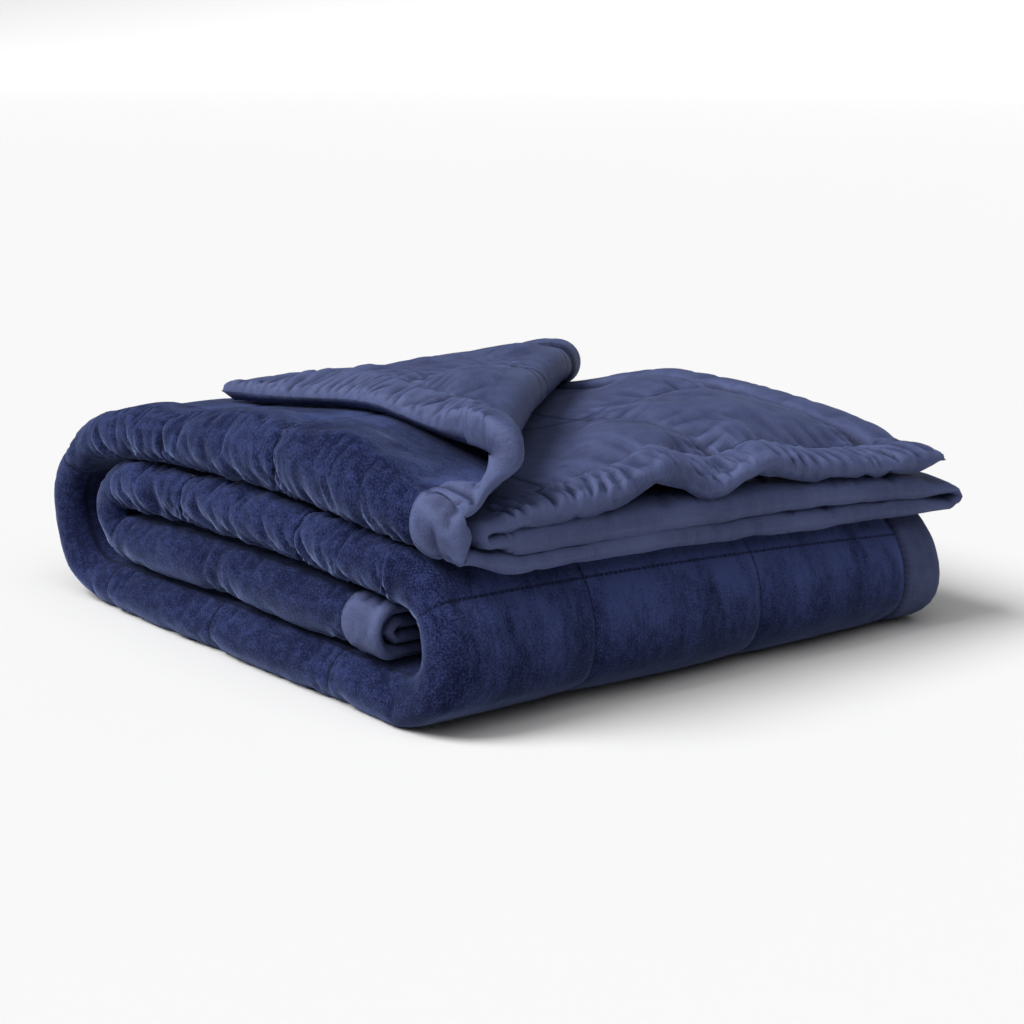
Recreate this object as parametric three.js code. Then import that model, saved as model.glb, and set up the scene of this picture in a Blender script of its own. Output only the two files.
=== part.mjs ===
// A square quilted blanket, folded to sixteen layers with one corner of its top layer turned back.
// Millimetres, +Z up. X runs along the side that shows the rounded front fold, Y runs from it to the back.
// The blanket is one flat sheet with the places w (across) and l (along), and every point of the solid is
// a point of that sheet, carried through the same folds as the real cloth.

import * as THREE from 'three';

// Flat sheet: a square with a plain hem border all round and square quilt boxes inside it
const SIDE = 2286;
const BORDER = 50;
const BOXES = 12;
const BOX = (SIDE - 2 * BORDER) / BOXES;
const SEAM_THICKNESS = 3;
const LOFT = 9.5;

// First fold: the sheet's width becomes a strip of four plies, PITCH from one to the next
const PITCH = 11.75;
const TOP_PLY = 544;
const INNER_PLY = 556;

// Second fold: the strip's length is wound to four layers, each as thick as the strip
const STRIP = 4 * PITCH;
const FRONT_EDGE = -52;
const BACK_TURN = 483;
const FRONT_TURN = 15;
const INNER_TURN = 451;

// Corner of the top ply, rolled back over a diagonal crease that starts at CREASE_START on the front hem;
// its puckers close to the roll take up FLAP_GATHER of its width
const CREASE_START = 2;
const CREASE_ANGLE = Math.PI / 4;
const ROLL = 19;
const FLAP_FALL = 24;
const FLAP_FALL_LENGTH = 270;
const FLAP_GATHER = 46;
const FLAP_GATHER_LENGTH = 85;

// The second ply, which the turned corner leaves free: it stands up, and its front hem rises in waves
const FREE_RISE = 21;
const FREE_RISE_START = 34;
const FREE_RISE_LENGTH = 120;
const HEM_WAVE_DEPTH = 70;
const HEM_WAVES = [
  { at: 205, height: 13, width: 34 },
  { at: 262, height: -9, width: 30 },
  { at: 318, height: 11, width: 34 },
];

// Settling: the stack stands highest a little left of its middle, its lowest ply is pressed flat, and its
// foot spreads to the left and to the front
const STACK_WIDTH = 560;
const STACK_DEPTH = 620;
const FRONT_HEIGHT = 0.97;
const MIDDLE_RISE = 0.58;
const BACK_FALL = 0.08;
const RIGHT_FALL = 0.2;
const PRESSED = 4.4;
const SPREAD = 8;
const SPREAD_HEIGHT = 70;
const SPREAD_DEPTH = 90;

// Largest spacing of the solid's points on the plies that lie free at the top
const FREE_STEP = 26;

const smooth = (t) => THREE.MathUtils.smoothstep(t, 0, 1);

// Path of straight runs and half turns in a plane. Each point has its place along (u), its height (v),
// the direction on the left of the way it goes, and the number of the leg that it is on.
function makePath(u, v, heading, legs) {
  const pieces = [];
  let start = 0;
  for (const leg of legs) {
    const length = leg.run ?? Math.PI * leg.radius;
    pieces.push({ ...leg, u, v, heading, start, end: start + length });
    if (leg.run) {
      u += leg.run * Math.cos(heading);
      v += leg.run * Math.sin(heading);
    } else {
      u -= leg.hand * 2 * leg.radius * Math.sin(heading);
      v += leg.hand * 2 * leg.radius * Math.cos(heading);
      heading += leg.hand * Math.PI;
    }
    start += length;
  }
  return pieces;
}

function pointOn(path, distance) {
  const found = path.findIndex((piece) => distance < piece.end);
  const index = found < 0 ? path.length - 1 : found;
  const piece = path[index];
  const done = distance - piece.start;
  const turned = piece.run ? 0 : (piece.hand * done) / piece.radius;
  const heading = piece.heading + turned;
  const left = { u: -Math.sin(heading), v: Math.cos(heading) };
  if (piece.run) {
    const u = piece.u + done * Math.cos(heading);
    const v = piece.v + done * Math.sin(heading);
    return { u, v, left, leg: index };
  }
  const reach = piece.hand * piece.radius;
  const u = piece.u + reach * (-Math.sin(piece.heading) - left.u);
  const v = piece.v + reach * (Math.cos(piece.heading) - left.v);
  return { u, v, left, leg: index };
}

// Four-ply section across the strip: top ply, outer crease, lowest ply, right crease, third ply, inner crease,
// second ply. The plush face is on the right of the way that the section goes.
const LAST_PLY = SIDE - TOP_PLY - 2 * INNER_PLY - 2.5 * Math.PI * PITCH;
const SECTION = makePath(TOP_PLY, 1.5 * PITCH, Math.PI, [
  { run: TOP_PLY },
  { radius: 1.5 * PITCH, hand: 1 },
  { run: INNER_PLY },
  { radius: 0.5 * PITCH, hand: 1 },
  { run: INNER_PLY },
  { radius: 0.5 * PITCH, hand: -1 },
  { run: LAST_PLY },
]);
const TOP_LEG = 0;
const FREE_LEG = SECTION.length - 1;

// Spiral of the strip: top layer, outer turn at the back, bottom layer, front turn, third layer, inner turn,
// and the layer whose end hem lies inside the front turn. The strip's top ply stays on its outer side.
const SPIRAL_LEGS = [
  { run: BACK_TURN - FRONT_EDGE },
  { radius: 1.5 * STRIP, hand: -1 },
  { run: BACK_TURN - FRONT_TURN },
  { radius: STRIP, hand: -1 },
  { run: INNER_TURN - FRONT_TURN },
  { radius: 0.5 * STRIP, hand: -1 },
];
const WOUND = SPIRAL_LEGS.reduce((sum, leg) => sum + (leg.run ?? Math.PI * leg.radius), 0);
const SPIRAL = makePath(FRONT_EDGE, 3.5 * STRIP, 0, [...SPIRAL_LEGS, { run: SIDE - WOUND }]);

// Share of the full loft across one direction of the sheet: none on the stitched lines and at the hem
function fullness(place) {
  const edge = Math.min(place, SIDE - place);
  const share = edge < BORDER ? edge / BORDER : ((edge - BORDER) / BOX) % 1;
  return Math.sqrt(Math.sin(Math.PI * share) + 1e-9);
}

function thickness(w, l) {
  return SEAM_THICKNESS + (LOFT - SEAM_THICKNESS) * Math.min(fullness(w), fullness(l));
}

// Place along the diagonal crease and distance past it, on the side of the turned corner
function fromCrease(x, l) {
  const along = (x - CREASE_START) * Math.cos(CREASE_ANGLE) + l * Math.sin(CREASE_ANGLE);
  const past = (x - CREASE_START) * Math.sin(CREASE_ANGLE) - l * Math.cos(CREASE_ANGLE);
  return { along, past };
}

// Rolls the top ply's corner over the crease, and lets it fall until it lies on the plush behind
function turnCorner(x, l, offset) {
  const { along, past } = fromCrease(x, l);
  if (past <= 0) {
    return { x, l, rise: 0 };
  }
  const angle = Math.min(past / ROLL, Math.PI);
  const lying = Math.max(past - Math.PI * ROLL, 0);
  const gathered = FLAP_GATHER * (1 - Math.exp(-lying / FLAP_GATHER_LENGTH));
  const across = (ROLL - offset) * Math.sin(angle) - lying + gathered;
  const fall = FLAP_FALL * smooth(lying / FLAP_FALL_LENGTH);
  return {
    x: CREASE_START + along * Math.cos(CREASE_ANGLE) + across * Math.sin(CREASE_ANGLE),
    l: along * Math.sin(CREASE_ANGLE) - across * Math.cos(CREASE_ANGLE),
    rise: ROLL - (ROLL - offset) * Math.cos(angle) - offset - fall,
  };
}

// Rise of the second ply where the turned corner no longer covers it, with the waves of its front hem
function riseOfFreePly(x, l) {
  const { past } = fromCrease(x, l);
  const waves = HEM_WAVES.map((wave) => wave.height * Math.exp(-(((x - wave.at) / wave.width) ** 2)));
  const wave = waves.reduce((sum, height) => sum + height, 0);
  return FREE_RISE * smooth((past - FREE_RISE_START) / FREE_RISE_LENGTH)
    + wave * Math.exp(-((l / HEM_WAVE_DEPTH) ** 2));
}

// Height of the settled stack at a place, as a share of the evenly folded height
function settledHeight(x, y) {
  const u = x / STACK_WIDTH;
  const v = (y - FRONT_EDGE) / STACK_DEPTH;
  const middle = MIDDLE_RISE * v * (1 - BACK_FALL - v);
  const right = RIGHT_FALL * u * Math.abs(u) * (1 - v + 0.8 * v * v);
  return FRONT_HEIGHT + middle - right;
}

// Carries one point of the sheet through the folds; face is 1 for the plush and -1 for the backing
function fold(w, l, face) {
  const offset = (face * thickness(w, l)) / 2;
  const ply = pointOn(SECTION, w);
  const height = ply.v - ply.left.v * offset;
  let place = { x: ply.u - ply.left.u * offset, l, rise: 0 };
  if (ply.leg === TOP_LEG) {
    place = turnCorner(place.x, l, offset);
  }
  if (ply.leg === FREE_LEG) {
    place.rise = riseOfFreePly(place.x, l);
  }
  const middle = pointOn(SPIRAL, place.l);
  const y = middle.u + middle.left.u * height;
  const even = Math.max(middle.v + middle.left.v * height - PRESSED, 0);
  const z = even * settledHeight(place.x, y) + place.rise;
  const foot = SPREAD * smooth(1 - z / SPREAD_HEIGHT);
  const toLeft = foot * smooth(1 - place.x / SPREAD_DEPTH);
  const toFront = foot * smooth(1 - (y - FRONT_EDGE) / SPREAD_DEPTH);
  return [place.x - toLeft, y - toFront, z];
}

// Even stations from one place to another
function divide(from, to, count) {
  return Array.from({ length: count + 1 }, (_, k) => from + ((to - from) * k) / count);
}

// Grid lines of the sheet in one direction: hems, quilt lines, box middles, and the turns of its fold path
function gridLines(path) {
  const quilting = divide(BORDER, SIDE - BORDER, 2 * BOXES);
  const lines = [0, BORDER / 2, ...quilting, SIDE - BORDER / 2, SIDE];
  for (const piece of path.filter((leg) => leg.radius)) {
    const steps = Math.max(4, Math.min(6, Math.round((Math.PI * piece.radius) / 12)));
    const turn = divide(piece.start, piece.end, steps);
    const nearest = (0.35 * (piece.end - piece.start)) / steps;
    lines.push(...turn.filter((place) => lines.every((line) => Math.abs(line - place) > nearest)));
  }
  return lines.sort((a, b) => a - b);
}

const W_LINES = gridLines(SECTION);
const L_LINES = gridLines(SPIRAL);

// Whether a grid cell lies on the top ply, or on the second ply near its free hem
function isFree(i, j) {
  const inside = i >= 0 && j >= 0 && i < W_LINES.length - 1 && j < L_LINES.length - 1;
  if (!inside) {
    return false;
  }
  const { leg } = pointOn(SECTION, (W_LINES[i] + W_LINES[i + 1]) / 2);
  const onTop = pointOn(SPIRAL, (L_LINES[j] + L_LINES[j + 1]) / 2).leg === 0;
  const nearHem = L_LINES[j] < BORDER + BOX;
  return onTop && (leg === TOP_LEG || (leg === FREE_LEG && nearHem));
}

const cut = (from, to) => divide(from, to, Math.ceil((to - from) / FREE_STEP));

// Outlines of the sheet's facets, as lists of [w, l] in one direction round
function facetRings() {
  const rings = [];
  for (let i = 0; i < W_LINES.length - 1; i += 1) {
    for (let j = 0; j < L_LINES.length - 1; j += 1) {
      const ws = cut(W_LINES[i], W_LINES[i + 1]);
      const ls = cut(L_LINES[j], L_LINES[j + 1]);
      if (isFree(i, j)) {
        for (let a = 0; a < ws.length - 1; a += 1) {
          for (let b = 0; b < ls.length - 1; b += 1) {
            rings.push([[ws[a], ls[b]], [ws[a + 1], ls[b]], [ws[a + 1], ls[b + 1]], [ws[a], ls[b + 1]]]);
          }
        }
        continue;
      }
      const ends = (list, fine) => (fine ? list : [list[0], list[list.length - 1]]);
      const lower = ends(ws, isFree(i, j - 1)).map((w) => [w, ls[0]]);
      const right = ends(ls, isFree(i + 1, j)).map((l) => [ws[ws.length - 1], l]);
      const upper = ends(ws, isFree(i, j + 1)).map((w) => [w, ls[ls.length - 1]]).reverse();
      const left = ends(ls, isFree(i - 1, j)).map((l) => [ws[0], l]).reverse();
      rings.push([lower, right, upper, left].flatMap((side) => side.slice(0, -1)));
    }
  }
  return rings;
}

// Triangles of one ring: two for a plain cell, and a fan from its middle where a finer neighbour adds points
function ringTriangles(ring) {
  if (ring.length === 4) {
    const [a, b, c, d] = ring;
    return [[a, b, d], [b, c, d]];
  }
  const ws = ring.map(([w]) => w);
  const ls = ring.map(([, l]) => l);
  const middle = [(Math.min(...ws) + Math.max(...ws)) / 2, (Math.min(...ls) + Math.max(...ls)) / 2];
  return ring.map((point, k) => [middle, point, ring[(k + 1) % ring.length]]);
}

const onHem = (p, q) => [0, 1].some((axis) => p[axis] === q[axis] && (p[axis] === 0 || p[axis] === SIDE));

// The closed solid: the plush face, the backing face, and the narrow rim between them along the four hems
function foldedSolid() {
  const positions = [];
  const index = [];
  const known = new Map();
  const vertex = ([w, l], face) => {
    const key = `${w} ${l} ${face}`;
    if (!known.has(key)) {
      known.set(key, known.size);
      positions.push(...fold(w, l, face));
    }
    return known.get(key);
  };
  for (const ring of facetRings()) {
    for (const [a, b, c] of ringTriangles(ring)) {
      index.push(vertex(a, 1), vertex(c, 1), vertex(b, 1));
      index.push(vertex(a, -1), vertex(b, -1), vertex(c, -1));
    }
    ring.forEach((p, k) => {
      const q = ring[(k + 1) % ring.length];
      if (onHem(p, q)) {
        index.push(vertex(p, 1), vertex(q, 1), vertex(q, -1));
        index.push(vertex(p, 1), vertex(q, -1), vertex(p, -1));
      }
    });
  }
  const geometry = new THREE.BufferGeometry();
  geometry.setAttribute('position', new THREE.Float32BufferAttribute(positions, 3));
  geometry.setIndex(index);
  geometry.computeVertexNormals();
  return geometry;
}

// The origin is moved under the middle of the stack, on the surface that it lies on
const geometry = foldedSolid();
geometry.computeBoundingBox();
const centre = geometry.boundingBox.getCenter(new THREE.Vector3());
geometry.translate(-centre.x, -centre.y, -geometry.boundingBox.min.z);

const navyPlush = new THREE.MeshStandardMaterial({ color: 0x2e3763, roughness: 0.95, metalness: 0 });
const blanket = new THREE.Mesh(geometry, navyPlush);
blanket.name = 'blanket';

const group = new THREE.Group();
group.add(blanket);

export default group;
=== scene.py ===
# %% [markdown]
# # A folded quilted blanket
# The real blanket is a square of plush and a square of microfibre, sewn together in boxes over a filling.
# It lies folded to a stack, with one corner of its top ply turned back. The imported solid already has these
# folds, so this lesson makes a finer blanket in them: soft boxes, puckered seams, fat hems and brushed pile.

# %% Frame
import math

import bpy
import numpy as np
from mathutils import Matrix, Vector


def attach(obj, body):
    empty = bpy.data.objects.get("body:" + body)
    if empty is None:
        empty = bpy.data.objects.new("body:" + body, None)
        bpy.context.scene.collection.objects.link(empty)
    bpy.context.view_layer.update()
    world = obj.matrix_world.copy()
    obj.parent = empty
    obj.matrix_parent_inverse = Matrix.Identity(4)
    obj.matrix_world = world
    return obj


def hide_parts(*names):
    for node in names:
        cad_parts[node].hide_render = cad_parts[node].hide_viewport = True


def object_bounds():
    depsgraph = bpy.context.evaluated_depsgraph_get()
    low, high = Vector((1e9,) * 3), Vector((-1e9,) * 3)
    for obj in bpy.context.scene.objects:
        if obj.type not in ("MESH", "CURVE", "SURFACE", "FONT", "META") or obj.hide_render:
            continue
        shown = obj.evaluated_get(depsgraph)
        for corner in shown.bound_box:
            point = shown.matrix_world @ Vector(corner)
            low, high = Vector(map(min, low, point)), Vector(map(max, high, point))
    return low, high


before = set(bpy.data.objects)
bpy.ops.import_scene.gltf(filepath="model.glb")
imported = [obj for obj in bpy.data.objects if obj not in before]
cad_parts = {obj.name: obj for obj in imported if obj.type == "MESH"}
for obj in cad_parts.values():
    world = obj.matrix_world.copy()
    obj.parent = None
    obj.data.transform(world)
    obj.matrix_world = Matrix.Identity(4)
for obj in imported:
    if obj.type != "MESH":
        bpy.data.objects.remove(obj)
cad_low, cad_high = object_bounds()
bpy.ops.object.select_all(action="DESELECT")
MM = 0.001
print("solid from", [round(c, 4) for c in cad_low], "to", [round(c, 4) for c in cad_high])

# %% [markdown]
# ## The flat sheet
# Before it is folded, the blanket is a flat square with a plain hem border and twelve by twelve quilt boxes.
# Every point of it has a place w across and l along. All lengths are millimetres until the mesh is made. A
# smooth seeded noise gives the small unevenness of sewn cloth, the same in each run.

# %% Sizes of the flat sheet
SIDE = 2286.0
BORDER = 50.0
BOXES = 12
BOX = (SIDE - 2 * BORDER) / BOXES
SEAM_THICKNESS = 3.0
LOFT = 9.5
QUILT_LINES = BORDER + BOX * np.arange(BOXES + 1)
print("quilt boxes of", round(BOX, 1), "mm")


# %% Smooth steps and seeded noise
TINY = 1e-6


def smooth(t):
    t = np.clip(t, 0.0, 1.0)
    return t * t * (3.0 - 2.0 * t)


def ramp(value, start, length):
    """0 up to the start, then smoothly up to 1 over the length."""
    return smooth((value - start) / length)


def fade(value, end, length):
    """1 until the length before the end, then smoothly down to 0."""
    return smooth((end - value) / length)


def bell(value, width):
    return np.exp(-((value / width) ** 2))


def ripple(seed, *places, waves=14):
    """Smooth noise between about -1 and 1, with a wavelength of about one unit of its places."""
    draw = np.random.default_rng(seed)
    total = 0.0
    for _ in range(waves):
        direction = draw.normal(size=len(places))
        direction *= draw.uniform(0.6, 1.35) / np.linalg.norm(direction)
        turn = draw.uniform(0.0, 2.0 * math.pi)
        total = total + np.sin(2.0 * math.pi * sum(d * p for d, p in zip(direction, places)) + turn)
    return total / math.sqrt(2.0 * waves)


# %% [markdown]
# ## The folds
# The width is folded to a strip of four plies and the strip is wound to four layers. Both are paths of
# straight runs and half turns: one path is the section across the strip, the other the spiral along it. A
# point of the sheet goes along the first path by its w and along the second by its l. Drawing each layer as
# its own slab would be quicker, but only this way do the quilt lines run round each fold as in sewn cloth.

# %% Paths of runs and half turns
RUN, TURN = "run", "turn"


class FoldPath:
    """Runs (RUN, length, 0) and half turns (TURN, radius, hand) one after another in a plane."""

    def __init__(self, u, v, heading, legs):
        rows = []
        start = 0.0
        for kind, size, hand in legs:
            curve = hand / size if kind == TURN else 0.0
            rows.append((start, u, v, heading, curve))
            if kind == RUN:
                u += size * math.cos(heading)
                v += size * math.sin(heading)
                start += size
            else:
                u -= 2 * hand * size * math.sin(heading)
                v += 2 * hand * size * math.cos(heading)
                heading += hand * math.pi
                start += math.pi * size
        self.start, self.u, self.v, self.heading, self.curve = np.array(rows).T
        self.ends = np.append(self.start[1:], start)

    def at(self, distance):
        """Place u, height v, the direction on the left, and the leg's number."""
        leg = np.clip(np.searchsorted(self.start, distance, side="right") - 1, 0, len(self.start) - 1)
        done = distance - self.start[leg]
        curve = self.curve[leg]
        before = self.heading[leg]
        now = before + curve * done
        bent = curve != 0.0
        radius = 1.0 / np.where(bent, curve, 1.0)
        u = np.where(bent, radius * (np.sin(now) - np.sin(before)), done * np.cos(before))
        v = np.where(bent, radius * (np.cos(before) - np.cos(now)), done * np.sin(before))
        return self.u[leg] + u, self.v[leg] + v, -np.sin(now), np.cos(now), leg


# %% Section across the strip and spiral along it
PITCH = 11.75
CREASE_RADIUS = 1.5 * PITCH
TOP_PLY = 544.0
INNER_PLY = 556.0
LAST_PLY = SIDE - TOP_PLY - 2 * INNER_PLY - 2.5 * math.pi * PITCH
SECTION = FoldPath(TOP_PLY, CREASE_RADIUS, math.pi, [
    (RUN, TOP_PLY, 0),
    (TURN, CREASE_RADIUS, 1),
    (RUN, INNER_PLY, 0),
    (TURN, 0.5 * PITCH, 1),
    (RUN, INNER_PLY, 0),
    (TURN, 0.5 * PITCH, -1),
    (RUN, LAST_PLY, 0),
])
PLY_1, CREASE_1, PLY_4, CREASE_2, PLY_3, CREASE_3, PLY_2 = range(7)

STRIP = 4 * PITCH
FRONT_EDGE = -52.0
BACK_TURN = 483.0
FRONT_TURN = 15.0
INNER_TURN = 451.0
SPIRAL_LEGS = [
    (RUN, BACK_TURN - FRONT_EDGE, 0),
    (TURN, 1.5 * STRIP, -1),
    (RUN, BACK_TURN - FRONT_TURN, 0),
    (TURN, STRIP, -1),
    (RUN, INNER_TURN - FRONT_TURN, 0),
    (TURN, 0.5 * STRIP, -1),
]
WOUND = sum(size * (math.pi if kind == TURN else 1.0) for kind, size, _ in SPIRAL_LEGS)
SPIRAL = FoldPath(FRONT_EDGE, 3.5 * STRIP, 0.0, SPIRAL_LEGS + [(RUN, SIDE - WOUND, 0)])
TOP, BACK_ROUND, BOTTOM, FRONT_ROUND, THIRD, INNER_ROUND = range(6)
print("plies meet at", SECTION.ends.round(1), "and layers at", SPIRAL.ends.round(1))

# %% [markdown]
# ## The turned corner, the free ply and the settled stack
# The top ply's corner rolls over a diagonal crease and falls on the plush behind it. The ply under it is left
# free: it stands up, its hem waves, and its very edge droops. Last the whole stack settles: highest near the
# middle, pressed flat below, and spread a little at its foot.

# %% Diagonal crease and the loops that the cloth makes over it
CREASE_START = 2.0
CREASE_ANGLE = math.pi / 4
LOOP_STEP = 0.25


def from_crease(x, l):
    """Place along the diagonal crease, and distance past it on the turned side."""
    along = (x - CREASE_START) * math.cos(CREASE_ANGLE) + l * math.sin(CREASE_ANGLE)
    past = (x - CREASE_START) * math.sin(CREASE_ANGLE) - l * math.cos(CREASE_ANGLE)
    return along, past


class Loop:
    """Section of the turned cloth, as bends of a length and an angle, one after another."""

    def __init__(self, bends):
        self.length = sum(length for length, _ in bends)
        self.place = np.linspace(0.0, self.length, int(self.length / LOOP_STEP) + 1)
        ends = np.cumsum([0.0] + [length for length, _ in bends])
        headings = np.cumsum([0.0] + [math.radians(angle) for _, angle in bends])
        self.heading = np.interp(self.place, ends, headings)
        step = self.place[1]
        self.across = np.cumsum(np.cos(self.heading)) * step
        self.height = np.cumsum(np.sin(self.heading)) * step

    def at(self, share):
        """Place across, height and heading at a share of the loop's length."""
        rows = (self.across, self.height, self.heading)
        return [np.interp(share * self.length, self.place, row) for row in rows]


HEM_LOOP = Loop([(8.0, 60.0), (34.0, 10.0), (15.0, 116.0)])
ROUND_LOOP = Loop([(53.0, 180.0)])
print("turned cloth stands", HEM_LOOP.height.max().round(1), "mm at its hem and",
      ROUND_LOOP.height.max().round(1), "mm behind")

# %% Corner turned over the crease
HEM_LOOP_REACH = 170.0
FLAP_REST = 15.0
HEM_FALL_LENGTH = 130.0
FLAP_FALL_LENGTH = 240.0
FALL_CHANGE = 200.0
FLAP_SHIFT = 53.0
FLAP_SHIFT_LENGTH = 85.0
FLAP_HEM_LIFT = 15.0
FLAP_HEM_NOSE = 25.0
FLAP_HEM_DEPTH = 45.0
FLAP_HEM_RAMP = (75.0, 95.0)
FLAP_SIDE_LENGTH = 140.0


def turn_corner(x, l, offset):
    along, past = from_crease(x, l)
    back = smooth(along / HEM_LOOP_REACH)
    length = HEM_LOOP.length + (ROUND_LOOP.length - HEM_LOOP.length) * back
    share = np.clip(past / length, 0.0, 1.0)
    lying = np.maximum(past - length, 0.0)
    hem, far = HEM_LOOP.at(share), ROUND_LOOP.at(share)
    across, height, heading = [h + (f - h) * back for h, f in zip(hem, far)]
    shifted = (FLAP_SHIFT - across) * (1.0 - np.exp(-lying / FLAP_SHIFT_LENGTH))
    fall_length = HEM_FALL_LENGTH + (FLAP_FALL_LENGTH - HEM_FALL_LENGTH) * ramp(l, 0.0, FALL_CHANGE)
    fall = (height - FLAP_REST) * smooth(lying / fall_length)
    across = across - offset * np.sin(heading) - lying + shifted
    roll = (1.0 - bell(l, FLAP_HEM_NOSE)) * bell(l - BORDER, FLAP_HEM_DEPTH)
    lift = FLAP_HEM_LIFT * roll * ramp(lying, *FLAP_HEM_RAMP)
    lift = lift * fade(x, TOP_PLY, FLAP_SIDE_LENGTH)
    rise = height + offset * np.cos(heading) - offset - fall + lift
    turned = past > 0.0
    turned_x = CREASE_START + along * math.cos(CREASE_ANGLE) + across * math.sin(CREASE_ANGLE)
    turned_l = along * math.sin(CREASE_ANGLE) - across * math.cos(CREASE_ANGLE)
    return np.where(turned, turned_x, x), np.where(turned, turned_l, l), np.where(turned, rise, 0.0)


# %% Free ply and its waved hem
FREE_RISE = 21.0
FREE_RISE_RAMP = (10.0, 130.0)
HEM_DROOP = 0.42
HEM_DROOP_DEPTH = 34.0
STITCH_SINK = 6.0
STITCH_SINK_WIDTH = 20.0
HEM_WAVE_DEPTH = 100.0
HEM_WAVE_LEAN = 0.5
RIGHT_REST = 0.42
RIGHT_REST_RAMP = (340.0, 200.0)
RIGHT_REST_DEPTH = 80.0
CORNER_RISE = 9.0
CORNER_RAMP = (450.0, 94.0)
CORNER_DEPTH = 75.0
HEM_WAVES = [  # place along the hem, height, width
    (205.0, 13.0, 34.0),
    (259.0, -7.5, 36.0),
    (318.0, 11.0, 34.0),
]


def stand_share(x, l):
    """0 under the turned corner, 1 where the plies beside it stand free."""
    _, past = from_crease(x, l)
    return ramp(past, *FREE_RISE_RAMP)


def rise_of_free_ply(x, l):
    right_part = ramp(x, *RIGHT_REST_RAMP)
    stand = FREE_RISE * stand_share(x, l) * (1.0 - RIGHT_REST * right_part * bell(l, RIGHT_REST_DEPTH))
    droop = 1.0 - HEM_DROOP * (1.0 - right_part) * bell(l, HEM_DROOP_DEPTH)
    sink = STITCH_SINK * bell(l - BORDER, STITCH_SINK_WIDTH) * stand_share(x, l)
    across = x - HEM_WAVE_LEAN * l
    wave = sum(height * bell(across - at, width) for at, height, width in HEM_WAVES)
    corner = CORNER_RISE * ramp(x, *CORNER_RAMP) * bell(l, CORNER_DEPTH)
    return stand * droop - sink + corner + wave * bell(l, HEM_WAVE_DEPTH)


# %% Thick front hems of the two plies below
THIRD_HEM_SINK = 3.6
THIRD_SINK_RAMP = (8.0, 60.0)
THIRD_HEM_RISE = 5.4
THIRD_RISE_RAMP = (150.0, 250.0)
LOWEST_HEM_SINK = 8.8
LOWEST_SINK_LENGTH = 60.0
LOWEST_END_SHARE = 0.55
LOWEST_END_RAMP = (380.0, 130.0)
HEM_LIFT_DEPTH = 46.0
NOSE_RISE = 3.0
NOSE_PULL = 20.0
INNER_PULL = 26.0
INNER_PULL_LENGTH = 60.0
NOSE_WIDTH = 22.0


def crease_share(w):
    """0 where the outer crease starts at the top ply, 1 where it meets the lowest ply."""
    start, end = SECTION.start[CREASE_1], SECTION.ends[CREASE_1]
    return np.clip((w - start) / (end - start), 0.0, 1.0)


def rise_of_front_hems(x, l, w, leg):
    third = THIRD_HEM_RISE * ramp(x, *THIRD_RISE_RAMP) - THIRD_HEM_SINK * ramp(x, *THIRD_SINK_RAMP)
    less_at_end = 1.0 - LOWEST_END_SHARE * ramp(x, *LOWEST_END_RAMP)
    lowest = -LOWEST_HEM_SINK * ramp(x, 0.0, LOWEST_SINK_LENGTH) * less_at_end
    lift = np.where(leg == PLY_3, third, np.where(leg == PLY_4, lowest, 0.0))
    below = np.where(leg == PLY_4, bell(x, NOSE_WIDTH), 0.0)
    below = np.where(leg == CREASE_1, smooth(crease_share(w)), below)
    return (lift + NOSE_RISE * below) * bell(l, HEM_LIFT_DEPTH)


def pull_of_nose(x, l, w, leg):
    """How far the hems of the outer and inner creases are drawn in at the front."""
    outer = np.where(leg == CREASE_1, NOSE_PULL * np.sin(math.pi * crease_share(w)), 0.0)
    inner_cloth = (leg == PLY_2) | (leg == CREASE_3) | (leg == PLY_3)
    inner = np.where(inner_cloth, INNER_PULL * (1.0 - ramp(x, 0.0, INNER_PULL_LENGTH)), 0.0)
    return (outer + inner) * bell(l, HEM_LIFT_DEPTH)


# %% Cloth pushed up between the nose and the loop beside it
LOOP_FOOT_RISE = 11.0
LOOP_FOOT_AT = (22.0, 20.0)
LOOP_FOOT_REACH = (24.0, 34.0)


def upper_share(w, leg):
    """1 on the top ply, falling to 0 round the outer crease."""
    round_crease = 0.5 + 0.5 * np.cos(math.pi * crease_share(w))
    return np.where(leg == PLY_1, 1.0, np.where(leg == CREASE_1, round_crease, 0.0))


def rise_of_loop_foot(x, l, w, leg):
    across = (x - LOOP_FOOT_AT[0]) / LOOP_FOOT_REACH[0]
    along = (l - LOOP_FOOT_AT[1]) / LOOP_FOOT_REACH[1]
    return LOOP_FOOT_RISE * upper_share(w, leg) * np.exp(-(across**2 + along**2))


# %% Swell of the top layer, whose filling has gathered near its left fold
SWELL = 16.0
SWELL_AT = 205.0
SWELL_REACH = 110.0
SWELL_FADE = (330.0, 200.0)


def swell_of_top(x, l, w, leg):
    """Rise of the top ply, and of the outer crease beside it, in the top layer."""
    share = bell(l - SWELL_AT, SWELL_REACH) * fade(x, *SWELL_FADE)
    return SWELL * share * upper_share(w, leg)


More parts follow.
